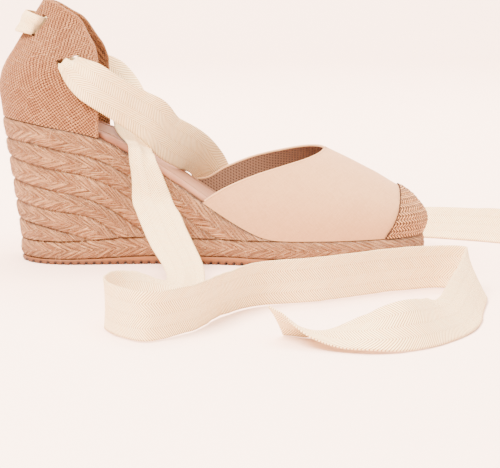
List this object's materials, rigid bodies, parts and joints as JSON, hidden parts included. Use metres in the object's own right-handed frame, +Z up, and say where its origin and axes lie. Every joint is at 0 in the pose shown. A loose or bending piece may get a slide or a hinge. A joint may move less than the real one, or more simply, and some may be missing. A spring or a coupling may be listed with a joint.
{
  "type": "wedge espadrille",
  "caption": "Closed-toe wedge espadrille with braided jute wedge, woven toe cap and back panel, canvas vamp and flat ribbon ankle ties.",
  "frame": {"origin": "point on the floor under the middle of the shoe's own box, the two free ribbons left aside", "axes": "+X towards the toe, -Y towards the outer side of this right shoe, +Z up"},
  "size_m": [0.4058, 0.3713, 0.1465],
  "materials": {
    "outsole": "matt honey crepe rubber",
    "jute_braid": "braided jute, hairy",
    "insole": "smooth matt lining",
    "canvas": "fine plain canvas",
    "jute_weave": "herringbone jute weave",
    "burlap": "open burlap weave",
    "ribbon": "herringbone cotton tape"
  },
  "bodies": {
    "root": {"outsole": "outsole", "base_braid": "jute_braid", "wedge": "jute_braid", "insole": "insole", "vamp": "canvas", "toe_cap": "jute_weave", "heel_counter": "burlap", "heel_loop": "ribbon", "tie_near": "ribbon", "tie_far": "ribbon"}
  },
  "joints": []
}
